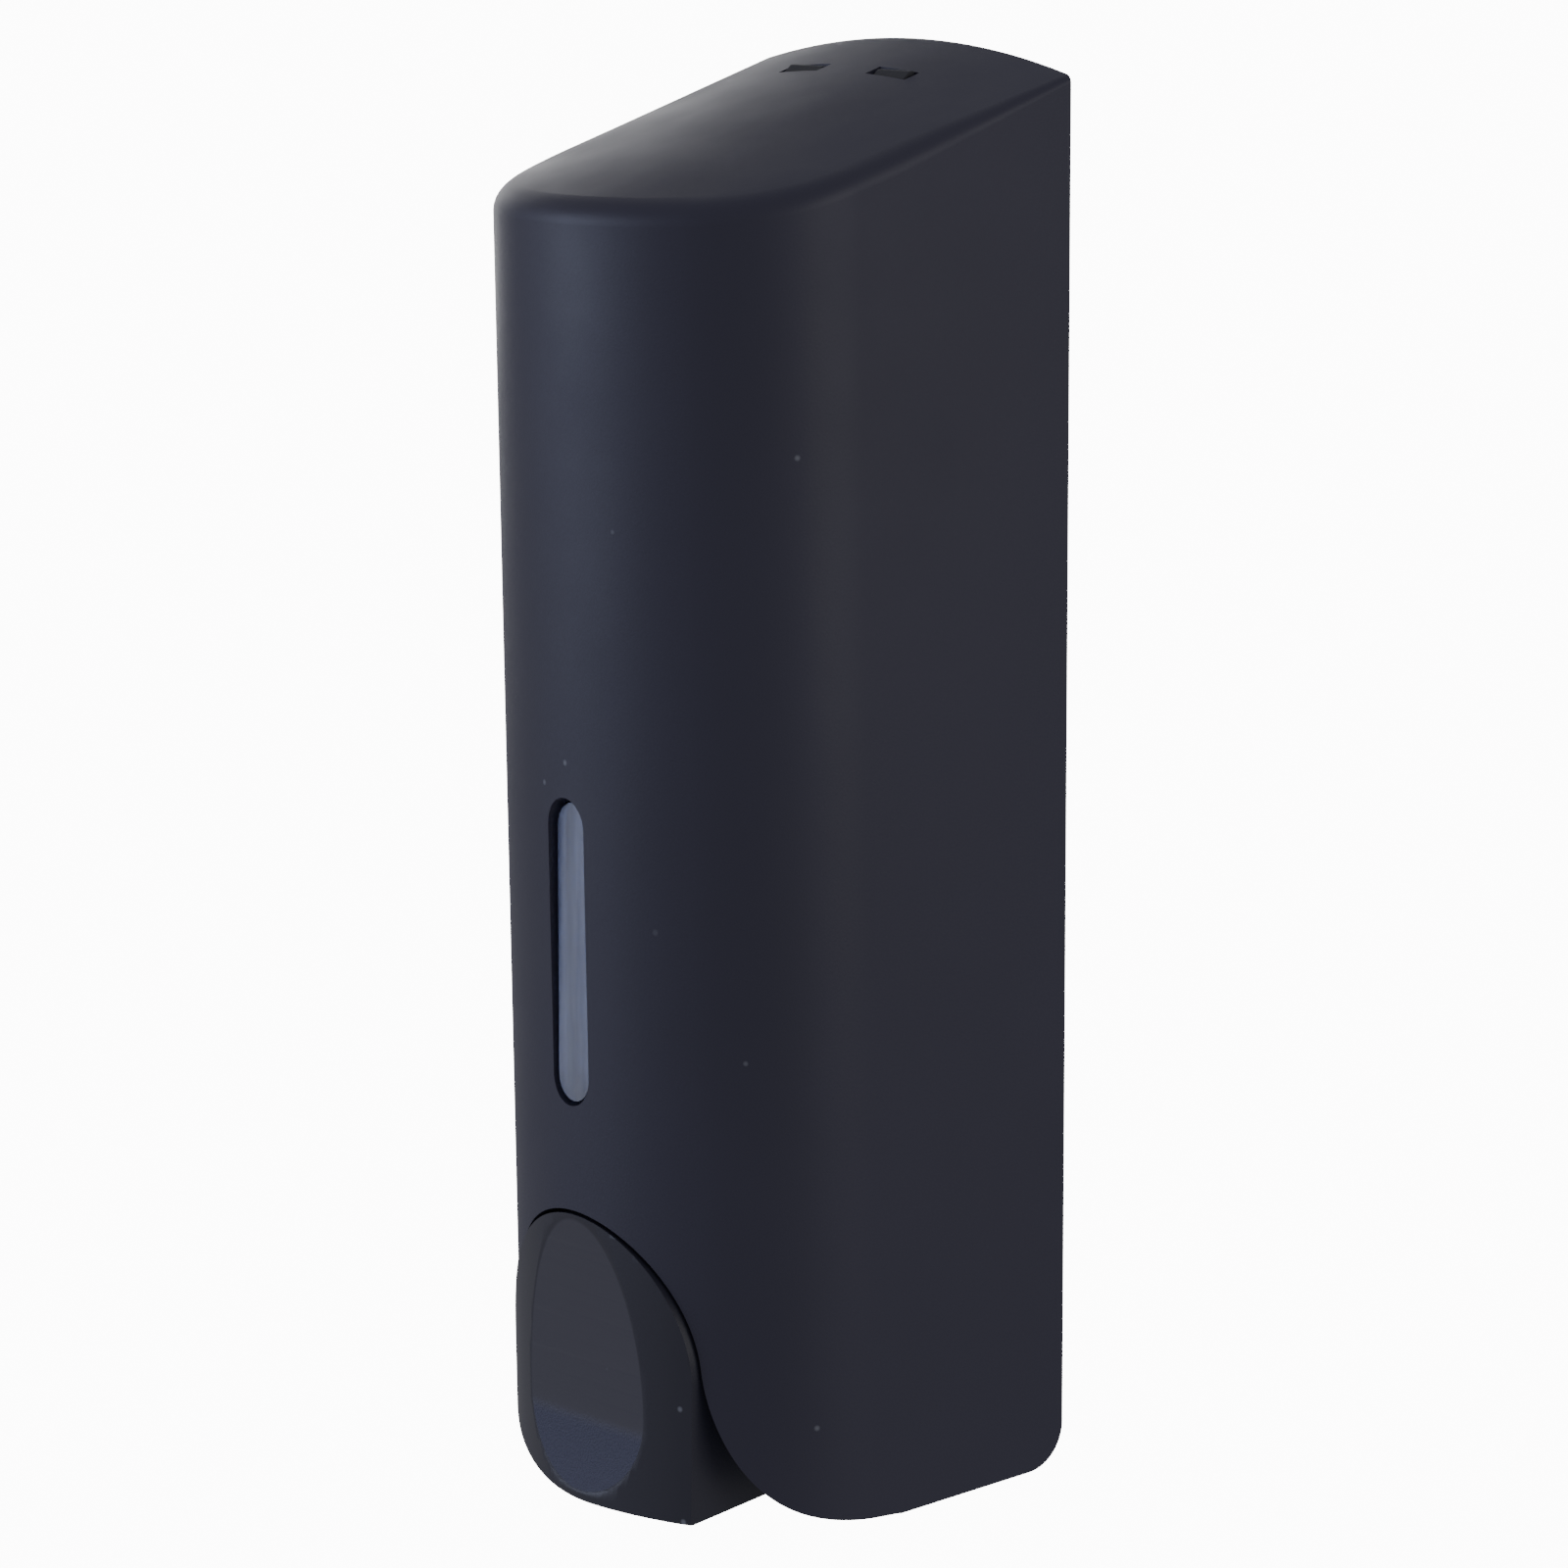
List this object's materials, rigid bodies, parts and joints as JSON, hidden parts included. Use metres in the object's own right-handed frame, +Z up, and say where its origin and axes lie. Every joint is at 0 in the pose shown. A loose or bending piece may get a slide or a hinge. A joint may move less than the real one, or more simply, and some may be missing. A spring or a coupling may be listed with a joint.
{
  "type": "wall mounted soap dispenser",
  "caption": "Tall wall-mounted liquid soap dispenser with a hinged cover, sight window, latches in its sloping roof and a thumb-pushed pump lever.",
  "frame": {"origin": "middle of the back plate's wall face", "axes": "+Z up; +Y into the wall; the front of the dispenser faces -Y and +X is its right-hand side seen from the front"},
  "size_m": [0.072, 0.0655, 0.214],
  "materials": {
    "cover_black": "satin black moulded plastic with a very fine grain",
    "lever_black": "semi-gloss black moulded plastic, finely grained on the lower part of the thumb pad",
    "plate_black": "matt black moulded plastic",
    "clear_tank": "clear moulded plastic, faintly blue",
    "pump_white": "natural white moulded plastic",
    "piston_grey": "grey moulded plastic",
    "seal_rubber": "black rubber",
    "valve_silicone": "translucent silicone",
    "steel": "stainless steel"
  },
  "bodies": {
    "wall_unit": {"back_plate": "plate_black", "reservoir": "clear_tank", "reservoir_gasket": "seal_rubber", "pump_body": "pump_white", "pump_cap": "pump_white", "inlet_seat": "piston_grey", "inlet_spring": "steel", "pump_spring": "steel", "nozzle_valve": "valve_silicone", "nozzle_cap": "piston_grey", "pump_screw_left": "steel", "pump_screw_right": "steel", "cover_pin_left": "steel", "cover_pin_right": "steel"},
    "cover": {"front_cover": "cover_black", "lever_pin": "steel"},
    "lever": {"push_lever": "lever_black"},
    "piston_unit": {"piston": "piston_grey", "piston_seal": "seal_rubber"},
    "ball": {"inlet_ball": "steel"},
    "latch_left_tongue": {"latch_left": "plate_black"},
    "latch_right_tongue": {"latch_right": "plate_black"},
    "lid": {"reservoir_lid": "clear_tank"}
  },
  "joints": [
    {"name": "cover_hinge", "type": "hinge", "parent": "wall_unit", "child": "cover", "pos_m": [0, -0.007, -0.09397], "axis": [1, 0, 0], "range_deg": [0, 80], "deforming": ["latch_left", "latch_right"]},
    {"name": "lever_hinge", "type": "hinge", "parent": "cover", "child": "lever", "pos_m": [0, -0.048, -0.068], "axis": [1, 0, 0], "range_deg": [0, 15], "stiffness_Nm_per_rad": 0.5, "springref_deg": -8.59},
    {"name": "piston_slide", "type": "slide", "parent": "wall_unit", "child": "piston_unit", "axis": [0, 1, 0], "range_m": [0, 0.0062], "deforming": ["pump_spring"]},
    {"name": "inlet_ball_slide", "type": "slide", "parent": "wall_unit", "child": "ball", "axis": [0, 0, -1], "range_m": [0, 0.0012], "stiffness_N_per_m": 40, "deforming": ["inlet_spring"]},
    {"name": "latch_left_flex", "type": "hinge", "parent": "wall_unit", "child": "latch_left_tongue", "pos_m": [-0.0103, -0.0034, 0.09689], "axis": [1, 0, 0], "range_deg": [0, 14], "stiffness_Nm_per_rad": 0.3},
    {"name": "latch_right_flex", "type": "hinge", "parent": "wall_unit", "child": "latch_right_tongue", "pos_m": [0.0103, -0.0034, 0.09689], "axis": [1, 0, 0], "range_deg": [0, 14], "stiffness_Nm_per_rad": 0.3},
    {"name": "lid_lift", "type": "slide", "parent": "wall_unit", "child": "lid", "axis": [0, 0, 1], "range_m": [0, 0.005]}
  ],
  "couplings": [
    {"joint": "piston_slide", "follows": "lever_hinge", "m_per_rad": 0.02368}
  ]
}
